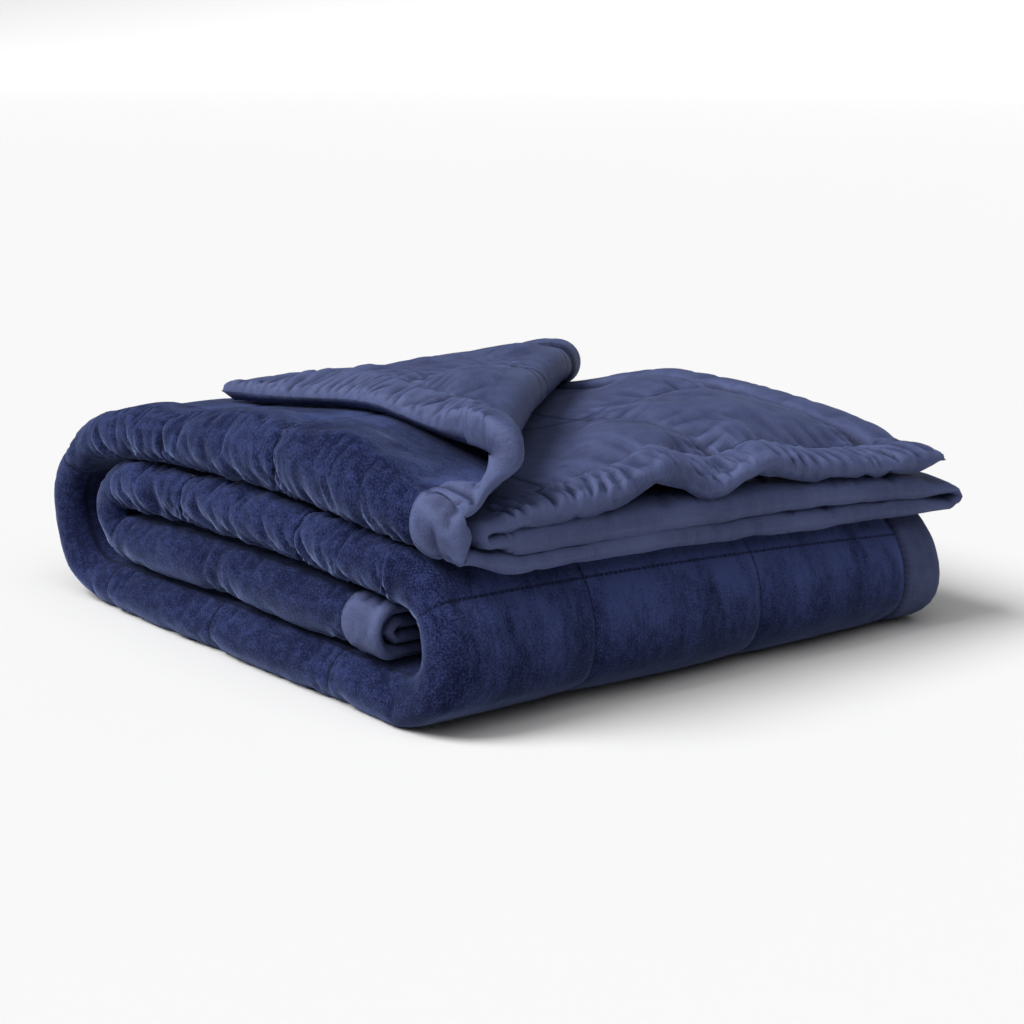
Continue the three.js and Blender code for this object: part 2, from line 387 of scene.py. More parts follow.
# %% Settled stack
STACK_WIDTH = 560.0
STACK_DEPTH = 620.0
FRONT_HEIGHT = 0.97
MIDDLE_RISE = 0.58
BACK_FALL = 0.08
RIGHT_FALL = 0.2
RIGHT_FALL_BACK = 0.8
PRESSED = 4.4
SPREAD = 8.0
SPREAD_HEIGHT = 70.0
SPREAD_DEPTH = 90.0
SLIP = 6.5
SLIP_FALL = 0.6
SLIP_FROM = (1165.0, 130.0)
SLIP_TO = (1500.0, 130.0)
END_SLIP = 13.0
END_SLIP_FROM = (1900.0, 350.0)
END_PULL = 9.0
END_PULL_EASE = 60.0
END_PULL_EARLY = 20.0
END_PULL_RAMP = (440.0, 110.0)
LEFT_PART = 150.0
SHOULDER_SINK = 6.0
SHOULDER_AT = 520.0
SHOULDER_WIDTH = 60.0
SHOULDER_RAMP = (60.0, 120.0)
BACK_SWELL = 6.0
BACK_SWELL_RAMP = (500.0, 60.0)
BACK_SWELL_AT = 115.0
BACK_SWELL_HEIGHT = 60.0
TOE_RISE = 10.0
TOE_HEIGHT = 30.0
FRONT_TOE = (20.0, 70.0)
FRONT_TOE_RAMP = (10.0, 330.0)
BACK_TOE_SHARE = 0.55
BACK_TOE_RAMP = (455.0, 80.0)
CROWN = 230.0
CROWN_SINK = 0.3
CROWN_EASE = 8.0


def settled_height(x, y):
    u = x / STACK_WIDTH
    v = (y - FRONT_EDGE) / STACK_DEPTH
    middle = MIDDLE_RISE * v * (1.0 - BACK_FALL - v)
    right = RIGHT_FALL * u * np.abs(u) * (1.0 - v + RIGHT_FALL_BACK * v * v)
    return FRONT_HEIGHT + middle - right


def slipped(x, l):
    """Place along the spiral, slipped on a little round the front fold, most at the left."""
    slip = SLIP * (1.0 - SLIP_FALL * np.clip(x / TOP_PLY, 0.0, 1.0))
    return l + slip * ramp(l, *SLIP_FROM) * fade(l, *SLIP_TO) + END_SLIP * ramp(l, *END_SLIP_FROM)


def pull_of_right_end(x, l):
    """How far the side hems are drawn in where the strip bends round the front."""
    before = ramp(l, SPIRAL.start[FRONT_ROUND] - END_PULL_EARLY, END_PULL_EASE)
    after = fade(l, SPIRAL.ends[FRONT_ROUND] + END_PULL_EARLY, END_PULL_EASE)
    return END_PULL * before * after * ramp(x, *END_PULL_RAMP)


def last_give(x, y, z):
    """The back left shoulder sinks, the back swells, the toes lift and the crown sinks a little."""
    left = fade(x, LEFT_PART, LEFT_PART)
    sunk = SHOULDER_SINK * bell(y - SHOULDER_AT, SHOULDER_WIDTH) * left * ramp(z, *SHOULDER_RAMP)
    swollen = BACK_SWELL * ramp(y, *BACK_SWELL_RAMP) * bell(z - BACK_SWELL_AT, BACK_SWELL_HEIGHT) * left
    front = fade(y, *FRONT_TOE) * (1.0 - ramp(x, *FRONT_TOE_RAMP))
    back = BACK_TOE_SHARE * left * ramp(y, *BACK_TOE_RAMP)
    toe = TOE_RISE * np.maximum(front, back) * fade(z, TOE_HEIGHT, TOE_HEIGHT)
    over = np.maximum(z - CROWN, 0.0)
    crown = CROWN_SINK * over * over / (over + CROWN_EASE)
    return y + swollen, z - sunk + toe - crown


def fold(w, l, offset):
    """Carries points of the sheet through all folds; offset is positive towards the plush."""
    u, v, left_u, left_v, leg = SECTION.at(w)
    height = v - left_v * offset
    x = u - left_u * offset
    turned_x, turned_l, turned_rise = turn_corner(x, l, offset)
    on_top_ply = leg == PLY_1
    rise = np.where(leg == PLY_2, rise_of_free_ply(x, l), rise_of_front_hems(x, l, w, leg))
    rise = np.where(on_top_ply, turned_rise, rise) + rise_of_loop_foot(x, l, w, leg)
    x = np.where(on_top_ply, turned_x, x + pull_of_nose(x, l, w, leg))
    l = np.where(on_top_ply, turned_l, l)
    x = x - pull_of_right_end(x, l)
    u, v, left_u, left_v, _ = SPIRAL.at(slipped(x, l))
    y = u + left_u * height
    even = np.maximum(v + left_v * height - PRESSED, 0.0)
    z = even * settled_height(x, y) + rise + swell_of_top(x, l, w, leg)
    foot = SPREAD * smooth(1.0 - z / SPREAD_HEIGHT)
    x = x - foot * smooth(1.0 - x / SPREAD_DEPTH)
    y = y - foot * smooth(1.0 - (y - FRONT_EDGE) / SPREAD_DEPTH)
    y, z = last_give(x, y, z)
    return np.stack([x, y, z], axis=-1)


# %% [markdown]
# ## Loft, puckers and wrinkles
# The stitching pulls the two cloths together, so each box is a small pillow, and the cloth gathers in short
# puckers across every seam. The hem is a fat roll with slanted puckers. On the left, where plush bends round
# each fold, it breaks into short curved creases. A sculpted mesh would have to be made again after each
# change of the fold, so all of these are heights over the sheet, worked out from w and l.

# %% Loft of boxes and hems
BOX_ROUND = 0.42
PLUSH_ROUND = 0.75
HEM_LOFT = 10.6
HEM_NOSE = 9.0
HEM_DIP = 18.0
FRONT_HEM_LOFT = {PLY_1: 19.0, CREASE_1: 18.0, PLY_2: 21.0, PLY_3: 22.0, PLY_4: 18.0}
EDGE_THICKNESS = 1.0
LOOP_HEM_LOFT = 12.0
LOOP_HEM_SHIFT = 5.0
TOP_FADE = 60.0
FAT_STANDING = (5.0, 50.0)
FAT_RAMP = (4.0, 50.0)
FAT_FADE = 60.0
LOOP_FROM = (22.0, 28.0)
LOOP_TO = (130.0, 50.0)
LOOP_DEPTH = (BORDER + 6.0, 25.0)


def to_edge(place):
    return np.minimum(place, SIDE - place)


def box_share(place):
    return np.mod((place - BORDER) / BOX, 1.0)


def seam_distance(place):
    """Distance to the nearest quilt line."""
    return BOX * np.abs(np.mod((place - BORDER) / BOX + 0.5, 1.0) - 0.5)


def bulge(share, power):
    return np.maximum(np.sin(math.pi * np.clip(share, 0.0, 1.0)), TINY) ** power


def rounded(t):
    return np.sqrt(1.0 - (1.0 - np.clip(t, 0.0, 1.0)) ** 2)


def pillow(w, l, power=BOX_ROUND):
    return bulge(box_share(w), power) * bulge(box_share(l), power)


def on_top_layer(l):
    return fade(l, SPIRAL.ends[TOP], TOP_FADE)


def free_share(w, l):
    """1 on the turned corner and on what it leaves free at the front, 0 on the plies that are pressed."""
    return stand_share(SECTION.at(w)[0], l) * on_top_layer(l)


def fat_share(w, l):
    """1 where the front hem is a fat roll: on the nose, the standing loop and the free plies."""
    u, _, _, _, leg = SECTION.at(w)
    standing = ramp(from_crease(u, l)[1], *FAT_STANDING)
    second = ramp(u, *FAT_RAMP)
    lower = np.where(leg == PLY_2, second, second * fade(u, INNER_PLY, FAT_FADE))
    round_nose = np.sin(math.pi * crease_share(w))
    share = np.where(leg == CREASE_1, round_nose, np.where(leg == PLY_1, standing, lower))
    return share * on_top_layer(l)


def loop_share(w, l):
    """1 on the hem of the loop that stands up beside the nose."""
    u, _, _, _, leg = SECTION.at(w)
    past = from_crease(u, l)[1]
    share = ramp(past, *LOOP_FROM) * fade(past, *LOOP_TO) * fade(l, *LOOP_DEPTH)
    return np.where(leg == PLY_1, share, 0.0)


def thickness(w, l):
    edge = np.minimum(to_edge(w), to_edge(l))
    leg = SECTION.at(w)[4]
    front = HEM_LOFT + np.zeros_like(w)
    for ply, loft in FRONT_HEM_LOFT.items():
        front = np.where(leg == ply, HEM_LOFT + (loft - HEM_LOFT) * fat_share(w, l), front)
    front = front + LOOP_HEM_LOFT * loop_share(w, l)
    nose = rounded(edge / HEM_NOSE)
    hem = nose * rounded((BORDER - edge) / HEM_DIP)
    loft = np.where(edge < BORDER, (front - SEAM_THICKNESS) * hem, (LOFT - SEAM_THICKNESS) * pillow(w, l))
    return EDGE_THICKNESS + (SEAM_THICKNESS - EDGE_THICKNESS) * nose + loft


# %% Sharp creases at uneven steps along a line
UNEVEN = 0.3
UNEVEN_LENGTH = 3.1
LEAST_CREASE = 0.1
CREASES = 512
LIP = 0.55
LIP_AT = 2.2
LIP_WIDTH = 1.7


def sharp_creases(along, spacing, width, seed):
    """Narrow troughs, each with a soft lip on one side, about one in each spacing."""
    place = along / spacing + UNEVEN * ripple(seed, along / (UNEVEN_LENGTH * spacing))
    nearest = np.rint(place)
    strengths = np.random.default_rng(seed + 1).uniform(LEAST_CREASE, 1.0, CREASES)
    away = (place - nearest) * spacing
    lip = LIP * bell(away - LIP_AT * width, LIP_WIDTH * width)
    return strengths[nearest.astype(int) % CREASES] * (lip - bell(away, width))


# %% Puckers across seams and hems
PUCKER = 2.6
PLUSH_PUCKER = 0.6
PUCKER_SPACING = 15.0
PUCKER_REACH = 13.0
SEAM_SHIFT = 37.0
HEM_PUCKER = 3.6
HEM_PUCKER_SPACING = 16.0
HEM_SLANT = 0.75
HEM_SLANT_LENGTH = 210.0
LOW_SLANT = 2.5
SIDE_HEM_PUCKER = 0.15
NOSE_PUCKER = 0.25
NOSE_CREASE = 2.6
NOSE_CREASE_AT = 25.0
NOSE_CREASE_RAMP = (0.3, 0.3)
LOW_PUCKER = 0.45
LOW_PUCKER_WIDTH = 6.5
LOW_PUCKER_SPACING = 48.0
LEFT_PLEATS = [(30.0, 2.6), (44.0, 1.9)]  # place along the third ply's hem, depth in hem puckers
PLEAT_LEAN = 0.3
PUCKER_WIDTH = 3.4


def seam_puckers(w, l, seed):
    """Short creases across the seams, deepest close beside the stitches."""
    height = 0.0
    for across, along, shift in ((w, l, 0), (l, w, 2)):
        from_seam = seam_distance(across)
        seam = np.rint((across - BORDER) / BOX)
        crease = sharp_creases(along + SEAM_SHIFT * seam, PUCKER_SPACING, PUCKER_WIDTH, seed + shift)
        near = (from_seam / PUCKER_REACH) * np.exp(1.0 - from_seam / PUCKER_REACH)
        height = height + crease * near
    return PUCKER * height


def hem_puckers(w, l, seed):
    edge_w, edge_l = to_edge(w), to_edge(l)
    edge = np.minimum(edge_w, edge_l)
    hem = np.where(edge_w < edge_l, l, w)
    slant = HEM_SLANT * ripple(seed + 4, hem / HEM_SLANT_LENGTH)
    crease = sharp_creases(hem + slant * edge, HEM_PUCKER_SPACING, PUCKER_WIDTH, seed)
    u, _, _, _, leg = SECTION.at(w)
    low_hem = hem + LOW_SLANT * slant * edge
    pressed = sharp_creases(low_hem, LOW_PUCKER_SPACING, LOW_PUCKER_WIDTH, seed + 2)
    crease = np.where((leg == PLY_3) | (leg == PLY_4), LOW_PUCKER * pressed, crease)
    for at, depth in LEFT_PLEATS:
        pleat = depth * bell(u - at + PLEAT_LEAN * edge, PUCKER_WIDTH)
        crease = crease - np.where(leg == PLY_3, pleat, 0.0)
    on_front = np.where(edge_l < edge_w, 1.0, SIDE_HEM_PUCKER)
    on_front = np.where(leg == CREASE_1, NOSE_PUCKER, on_front)
    nose_line = bell(l - NOSE_CREASE_AT, PUCKER_WIDTH) * ramp(crease_share(w), *NOSE_CREASE_RAMP)
    crease = crease - np.where(leg == CREASE_1, NOSE_CREASE * nose_line, 0.0)
    return HEM_PUCKER * crease * on_front * rounded(edge / HEM_NOSE) * rounded((BORDER - edge) / HEM_DIP)


# %% Short curved creases where the plush bends round the left folds
CLAW_SPACING = 27.0
CLAW_LEAN = 11.0
CLAW_DEPTH = 3.0
CLAW_WIDTH = 2.9
SOFT_CLAW = 0.4
CLAW_FROM = (0.9, 0.9)
CLAW_TO = (3.3, 0.6)
CLAW_SEED = 71


def claw_creases(w, l):
    angle = (w - SECTION.start[CREASE_1]) / CREASE_RADIUS
    layer = SPIRAL.at(l)[4]
    faces_up = (layer == TOP) | (layer == THIRD)
    low = np.where(faces_up, angle, math.pi - angle)
    along = l + CLAW_LEAN * (low - 0.5 * math.pi) ** 2 + CLAW_LEAN * low
    reach = ramp(low, *CLAW_FROM) * fade(low, *CLAW_TO)
    kind = np.where(faces_up, 1.0, SOFT_CLAW)
    return CLAW_DEPTH * kind * reach * sharp_creases(along, CLAW_SPACING, CLAW_WIDTH, CLAW_SEED)


# %% Height of each face over the sheet's middle
PLUSH_LOFT = 5.5
BACKING_LOFT = 10.0
LUMPS = 1.8
LUMP_LENGTH = 62.0
UNCOVERED = 60.0
HEM_FADE = 12.0
ROUND_FADE = 40.0
LOWER_OPEN = 0.6
NOSE_OPEN = 0.5
FOLD_OPEN = 0.6
STANDING_RAMP = (6.0, 75.0)
PLUSH_SEED = 10
BACKING_SEED = 40


def in_round(l, layer):
    """1 where the sheet goes round one of the spiral's turns."""
    return ramp(l, SPIRAL.start[layer], ROUND_FADE) * fade(l, SPIRAL.ends[layer], ROUND_FADE)


def open_share(w, l, face):
    """1 where a face lies open, 0 where other plies press on it."""
    u, _, _, _, leg = SECTION.at(w)
    in_hem = fade(l, BORDER, HEM_FADE)
    lower_ply = (leg == PLY_2) | (leg == PLY_3) | (leg == PLY_4)
    front_hem = np.where(lower_ply, in_hem * fat_share(w, l), 0.0) * np.where(leg == PLY_2, 1.0, LOWER_OPEN)
    if face < 0:
        free = free_share(w, l) * ((leg == PLY_1) | (leg == PLY_2))
        return np.where(leg == CREASE_1, NOSE_OPEN * in_hem, np.maximum(free, front_hem))
    top = fade(u, UNCOVERED, UNCOVERED) * fade(l, SPIRAL.ends[TOP], ROUND_FADE)
    upper = in_round(l, BACK_ROUND) + in_round(l, FRONT_ROUND) + top
    return np.where(leg == CREASE_1, FOLD_OPEN, np.where(leg == PLY_1, upper, front_hem))


def standing_share(w, l):
    """0 where the sheet lies close to the floor, 1 well above it."""
    height = fold(w, l, np.zeros_like(w))[..., 2]
    return ramp(height, *STANDING_RAMP)


def surface_height(w, l, face):
    """Signed height of the plush (face 1) or the backing (face -1) over the sheet's middle."""
    seed = PLUSH_SEED if face > 0 else BACKING_SEED
    loft = PLUSH_LOFT if face > 0 else BACKING_LOFT
    in_border = np.minimum(to_edge(w), to_edge(l)) < BORDER
    lumps = LUMPS * ripple(seed + 5, w / LUMP_LENGTH, l / LUMP_LENGTH)
    pucker, power = (PLUSH_PUCKER, PLUSH_ROUND) if face > 0 else (1.0, BOX_ROUND)
    box = pucker * seam_puckers(w, l, seed) + (loft + lumps) * pillow(w, l, power)
    detail = open_share(w, l, face) * np.where(in_border, hem_puckers(w, l, seed + 8), box)
    if face > 0:
        detail = detail + np.where(SECTION.at(w)[4] == CREASE_1, claw_creases(w, l), 0.0)
        detail = detail * standing_share(w, l)
    return face * (0.5 * thickness(w, l) + detail) - LOOP_HEM_SHIFT * loop_share(w, l)


# %% [markdown]
# ## Cutting the sheet
# A fine grid everywhere would be far too heavy for sixteen layers that mostly hide each other. So the sheet
# is cut along its quilt lines and fold lines to some hundred patches, and each patch of each face gets its
# own number of steps, always a power of two. A patch beside a finer one takes its neighbour's extra points
# into its edge faces.

# %% Patches and their steps
STEPS_MOST = 64
STEP_SLACK = 0.2
NEAR_FOLD = 36.0
SEEN_PAST = 130.0
SPACING = {  # wanted spacing of points across and along
    "nose": (1.8, 3.2),
    "nose backing": (6.0, 6.2),
    "creased fold": (3.4, 2.9),
    "smooth fold": (3.4, 5.7),
    "fold backing": (9.0, 12.0),
    "fat hem": (2.9, 3.2),
    "open box": (5.7, 5.7),
    "covered box": (14.0, 14.0),
    "front hem": (5.7, 6.2),
    "side hem": (6.2, 11.0),
    "hidden hem": (12.0, 6.2),
    "underside": (12.0, 12.0),
    "hidden turn": (23.0, 9.0),
    "hidden": (23.0, 23.0),
}


def patch_lines(path, extra):
    lines = np.unique(np.concatenate([[0.0, SIDE], QUILT_LINES, path.ends, extra]).round(6))
    return lines[(lines >= 0.0) & (lines <= SIDE)]


W_LINES = patch_lines(SECTION, [TOP_PLY - NEAR_FOLD, SECTION.ends[CREASE_1] + NEAR_FOLD])
L_LINES = patch_lines(SPIRAL, [])


def steps_for(length, spacing):
    """Smallest power of two that cuts a length finely enough."""
    return int(min(STEPS_MOST, 2 ** max(0, math.ceil(math.log2(length / spacing) - STEP_SLACK))))


def kind_of_patch(w, l, face):
    """Which spacing a patch gets, from the place of its middle."""
    leg = int(SECTION.at(np.array(w))[4])
    layer = int(SPIRAL.at(np.array(l))[4])
    hem_w, hem_l = to_edge(w) < BORDER, to_edge(l) < BORDER
    x = TOP_PLY - w if leg == PLY_1 else w - SECTION.start[PLY_2]
    past = float(from_crease(x, l)[1])
    plush = face > 0
    if leg == CREASE_1 and hem_l:
        return "nose" if plush else "nose backing"
    if leg == CREASE_1 and plush:
        return "creased fold" if layer in (TOP, THIRD) else "smooth fold"
    if leg == CREASE_1:
        return "fold backing"
    if layer == TOP and (leg == PLY_1 or (leg == PLY_2 and past > -SEEN_PAST)):
        seen = past > -SEEN_PAST
        if plush:
            seen = leg == PLY_1 and past < SEEN_PAST
        if not seen:
            return "covered box"
        return "fat hem" if hem_l else "open box"
    if layer == TOP and hem_l:
        return "front hem"
    if leg == PLY_1 and plush and layer in (BACK_ROUND, FRONT_ROUND):
        return "open box"
    if hem_w or leg == CREASE_2:
        return "side hem"
    if hem_l:
        return "hidden hem"
    if leg == PLY_1 and layer == BOTTOM and plush:
        return "underside"
    if layer in (BACK_ROUND, FRONT_ROUND, INNER_ROUND):
        return "hidden turn"
    return "hidden"


def middle_of(lines, k):
    return 0.5 * (lines[k] + lines[k + 1])


patches = {}
for face in (1, -1):
    for i in range(len(W_LINES) - 1):
        for j in range(len(L_LINES) - 1):
            across, along = SPACING[kind_of_patch(middle_of(W_LINES, i), middle_of(L_LINES, j), face)]
            patches[face, i, j] = (
                steps_for(W_LINES[i + 1] - W_LINES[i], across),
                steps_for(L_LINES[j + 1] - L_LINES[j], along),
            )
print(len(patches), "patches,", 2 * sum(a * b for a, b in patches.values()), "triangles in them")


# %% Faces of the sheet as rings of grid points
def edge_steps(face, i, j, di, dj):
    """Steps along the edge that a patch shares with its neighbour, or with the other face at the hem."""
    axis = 0 if di == 0 else 1
    other = patches.get((face, i + di, j + dj)) or patches[-face, i, j]
    return max(patches[face, i, j][axis], other[axis])


def ticks(first, last, steps):
    """Grid points of one cell's side, where the edge is cut to this many steps in a whole patch."""
    size = STEPS_MOST // steps
    way = size if last > first else -size
    return range(first, last, way)


def patch_rings(face, i, j):
    across, along = patches[face, i, j]
    size_w, size_l = STEPS_MOST // across, STEPS_MOST // along
    low = edge_steps(face, i, j, 0, -1)
    high = edge_steps(face, i, j, 0, 1)
    left = edge_steps(face, i, j, -1, 0)
    right = edge_steps(face, i, j, 1, 0)
    base_w, base_l = i * STEPS_MOST, j * STEPS_MOST
    for a in range(0, STEPS_MOST, size_w):
        for b in range(0, STEPS_MOST, size_l):
            end_a, end_b = a + size_w, b + size_l
            ring = [(t, b) for t in ticks(a, end_a, low if b == 0 else across)]
            ring += [(end_a, t) for t in ticks(b, end_b, right if end_a == STEPS_MOST else along)]
            ring += [(t, end_b) for t in ticks(end_a, a, high if end_b == STEPS_MOST else across)]
            ring += [(a, t) for t in ticks(end_b, b, left if a == 0 else along)]
            yield [(base_w + p, base_l + q) for p, q in ring]


SPOTS_W = (len(W_LINES) - 1) * STEPS_MOST + 1
SPOTS_L = (len(L_LINES) - 1) * STEPS_MOST + 1


def spot(face, p, q):
    """One whole number for each grid point of each face."""
    return ((face > 0) * SPOTS_W + p) * SPOTS_L + q


def sheet_rings():
    """All faces as lists of spots, turned outwards, with 1 for plush and 0 for microfibre."""
    rings, plush = [], []
    last_w, last_l = SPOTS_W - 1, SPOTS_L - 1
    for face, i, j in patches:
        middle = min(to_edge(middle_of(W_LINES, i)), to_edge(middle_of(L_LINES, j)))
        is_plush = int(face > 0 and middle > BORDER)
        for ring in patch_rings(face, i, j):
            spots = [spot(face, p, q) for p, q in ring]
            rings.append(spots[::-1] if face > 0 else spots)
            plush.append(is_plush)
            if face < 0:
                continue
            for (p, q), (r, s) in zip(ring, ring[1:] + ring[:1]):
                if (p == r and p in (0, last_w)) or (q == s and q in (0, last_l)):
                    rings.append([spot(1, p, q), spot(1, r, s), spot(-1, r, s), spot(-1, p, q)])
                    plush.append(0)
    return rings, np.array(plush)


rings, ring_is_plush = sheet_rings()
print(len(rings), "faces,", sum(len(ring) - 2 for ring in rings), "triangles")


# %% Places of the grid points
SEAM_CROWDING = 0.5


def tick_places(lines):
    """Places of all grid points in one direction, closer together beside the lines than between them."""
    whole = np.arange((len(lines) - 1) * STEPS_MOST + 1) / STEPS_MOST
    crowded = whole - SEAM_CROWDING * np.sin(2.0 * math.pi * whole) / (2.0 * math.pi)
    return np.interp(crowded, np.arange(len(lines)), lines)


used, ring_points = np.unique(np.concatenate([np.array(ring) for ring in rings]), return_inverse=True)
point_face = np.where(used // (SPOTS_W * SPOTS_L) > 0, 1, -1)
point_w = tick_places(W_LINES)[(used // SPOTS_L) % SPOTS_W]
point_l = tick_places(L_LINES)[used % SPOTS_L]


on_plush, on_backing = [surface_height(point_w, point_l, face) for face in (1, -1)]
folded = fold(point_w, point_l, np.where(point_face > 0, on_plush, on_backing))
plain = fold(point_w, point_l, point_face * 0.5 * LOFT)
plain_middle = 0.5 * (plain.min(axis=0) + plain.max(axis=0))
cad_middle = 0.5 * (np.array(cad_low) + np.array(cad_high)) / MM
SHIFT = np.array([cad_middle[0] - plain_middle[0], cad_middle[1] - plain_middle[1], 0.0])


def to_frame(points):
    """From the fold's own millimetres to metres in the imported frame, never below the floor."""
    moved = points + SHIFT
    moved[:, 2] = np.maximum(moved[:, 2], 0.0)
    return moved * MM


places = to_frame(folded)
print("moved by", SHIFT.round(2), "mm; box", places.min(axis=0).round(3), places.max(axis=0).round(3))


# %% Blanket mesh with its sheet coordinates
SHEET_MAP = "sheet"


def mesh_piece(name, points, faces):
    mesh = bpy.data.meshes.new(name)
    mesh.from_pydata(points.tolist(), [], faces)
    mesh.update()
    piece = bpy.data.objects.new(name, mesh)
    bpy.context.scene.collection.objects.link(piece)
    return piece


ring_lengths = np.array([len(ring) for ring in rings])
cuts = np.cumsum(ring_lengths)[:-1]
faces = [ring.tolist() for ring in np.split(ring_points, cuts)]
blanket = mesh_piece("quilted_blanket", places, faces)
sheet_map = blanket.data.uv_layers.new(name=SHEET_MAP)
loops = np.zeros(len(blanket.data.loops), np.int32)
blanket.data.loops.foreach_get("vertex_index", loops)
sheet_map.data.foreach_set("uv", (np.stack([point_w, point_l], axis=-1)[loops] * MM).ravel())
blanket.data.polygons.foreach_set("material_index", 1 - ring_is_plush)
blanket.data.polygons.foreach_set("use_smooth", np.ones(len(faces), bool))
print("blanket mesh of", len(blanket.data.vertices), "points")

# %% [markdown]
# ## Cloth that settles between its seams
# Sewing shortens a seam, so the cloth beside it is too long and buckles. Drawn wrinkles alone look even and
# made up. Blender's cloth solver buckles the cloth as sewing does, when the seams and the pressed plies are
# pinned and the free cloth grows a little under a light pressure from the filling. The moves of the points
# are capped and faded, to keep each ply off its neighbour.

# %% Free and held points
SEAM_GRIP = 0.8
LEAST_OPEN = 0.2


def open_points(w, l, face):
    return np.where(face > 0, open_share(w, l, 1), open_share(w, l, -1))


def free_points(w, l, face):
    """True where the cloth may move: open to the outside and not on a seam."""
    edge = np.minimum(to_edge(w), to_edge(l))
    on_seam = (edge > BORDER) & (np.minimum(seam_distance(w), seam_distance(l)) < SEAM_GRIP)
    on_border_seam = np.abs(edge - BORDER) < SEAM_GRIP
    return (open_points(w, l, face) > LEAST_OPEN) & ~on_seam & ~on_border_seam


free = free_points(point_w, point_l, point_face)
print(int(free.sum()), "points are free")

# %% Growth of the free cloth
HEM_GROWTH = 0.10
LOWER_HEM_GROWTH = 0.015
NOSE_GROWTH = 0.03
SIDE_HEM_GROWTH = 0.01
FOLD_GROWTH = 0.07
LOW_FOLD_GROWTH = 0.02
BACKING_GROWTH = 0.045
PLUSH_GROWTH = 0.025


def growth(w, l, face):
    """How much longer the cloth is than the seams that hold it."""
    edge_w, edge_l = to_edge(w), to_edge(l)
    leg, layer = SECTION.at(w)[4], SPIRAL.at(l)[4]
    fold_growth = np.where((layer == TOP) | (layer == THIRD), FOLD_GROWTH, LOW_FOLD_GROWTH)
    flat_growth = np.where(face > 0, PLUSH_GROWTH, BACKING_GROWTH)
    grown = np.where((face > 0) & (leg == CREASE_1), fold_growth, flat_growth)
    grown = np.where(edge_w < BORDER, SIDE_HEM_GROWTH, grown)
    hem_growth = np.where((leg == PLY_3) | (leg == PLY_4), LOWER_HEM_GROWTH, HEM_GROWTH)
    hem_growth = np.where(leg == CREASE_1, NOSE_GROWTH, hem_growth)
    return np.where((edge_l < BORDER) & (edge_l < edge_w), hem_growth, grown)


point_growth = growth(point_w, point_l, point_face)

# %% Settle
SETTLE_FRAMES = 14
SOLVER = {
    "quality": 4,
    "mass": 0.15,
    "tension_stiffness": 12.0,
    "compression_stiffness": 12.0,
    "shear_stiffness": 4.0,
    "bending_stiffness": 0.2,
    "vertex_group_mass": "held",
    "vertex_group_shrink": "shorter",
    "use_pressure": True,
    "uniform_pressure_force": 3.0,
}


def settle(points, rings, free, grown):
    """Places of the points after the free cloth has grown and buckled between the held points."""
    moving = [ring for ring in rings if free[ring].any()]
    kept = np.unique(np.concatenate(moving))
    number = np.zeros(len(points), int)
    number[kept] = np.arange(len(kept))
    cloth_piece = mesh_piece("settling", points[kept], [number[ring].tolist() for ring in moving])
    held = cloth_piece.vertex_groups.new(name="held")
    held.add(np.flatnonzero(~free[kept]).tolist(), 1.0, "REPLACE")
    shorter = cloth_piece.vertex_groups.new(name="shorter")
    for amount in np.unique(grown):
        shorter.add(np.flatnonzero(grown[kept] == amount).tolist(), 1.0 - amount / grown.max(), "REPLACE")
    cloth = cloth_piece.modifiers.new("settle", "CLOTH")
    for name, setting in SOLVER.items():
        setattr(cloth.settings, name, setting)
    cloth.settings.shrink_min = -grown.max()
    cloth.settings.shrink_max = 0.0
    cloth.settings.effector_weights.gravity = 0.0
    cloth.collision_settings.use_collision = False
    cloth.point_cache.frame_end = SETTLE_FRAMES
    for step in range(1, SETTLE_FRAMES + 1):
        bpy.context.scene.frame_set(step)
    settled = cloth_piece.evaluated_get(bpy.context.evaluated_depsgraph_get()).data
    found = np.zeros(len(kept) * 3)
    settled.vertices.foreach_get("co", found)
    bpy.data.meshes.remove(cloth_piece.data)
    bpy.context.scene.frame_set(1)
    result = points.copy()
    result[kept] = found.reshape(-1, 3)
    return result


# %% Limits of the settled moves
SWELL_ROUNDS = 40
MOST_IN = -2.6
MOST_OUT = 4.5
MOST_ASIDE = 2.2
FRONT_CALM = 0.75
FRONT_CALM_LENGTH = 50.0
EDGE_CALM = 0.7
EDGE_REACH = 14.0
OPEN_EASE = 0.3
MOVE_SPREAD = 0.25


def mesh_rows(rows, name, width):
    found = np.zeros(len(rows) * width, np.int32 if name == "vertices" else np.float32)
    rows.foreach_get(name, found)
    return found.reshape(-1, width)


def spread(values, pairs):
    """Each point takes the mean of its neighbours' values."""
    near = np.concatenate([pairs[:, 0], pairs[:, 1]])
    far = np.concatenate([pairs[:, 1], pairs[:, 0]])
    count = np.maximum(np.bincount(near, minlength=len(values)), 1)
    sums = [np.bincount(near, column[far], minlength=len(values)) for column in values.T]
    return np.stack(sums, axis=-1) / count[:, None]


def softened(values, pairs, share):
    return (1.0 - share) * values + share * spread(values, pairs)


def limited(move, normals):
    """The move with its part along the normal and its part aside both capped."""
    out = np.sum(move * normals, axis=1, keepdims=True)
    aside = move - out * normals
    size = np.linalg.norm(aside, axis=1, keepdims=True)
    aside = aside * np.minimum(1.0, MOST_ASIDE / np.maximum(size, TINY))
    return np.clip(out, MOST_IN, MOST_OUT) * normals + aside


def calm_share(w, l, face):
    """1 on the plush that is drawn smooth round the front fold, 0 elsewhere."""
    u, _, _, _, leg = SECTION.at(w)
    drawn = (face > 0) & (leg == PLY_1) & (SPIRAL.at(l)[4] == FRONT_ROUND)
    return np.where(drawn, ramp(u, 0.0, FRONT_CALM_LENGTH), 0.0)


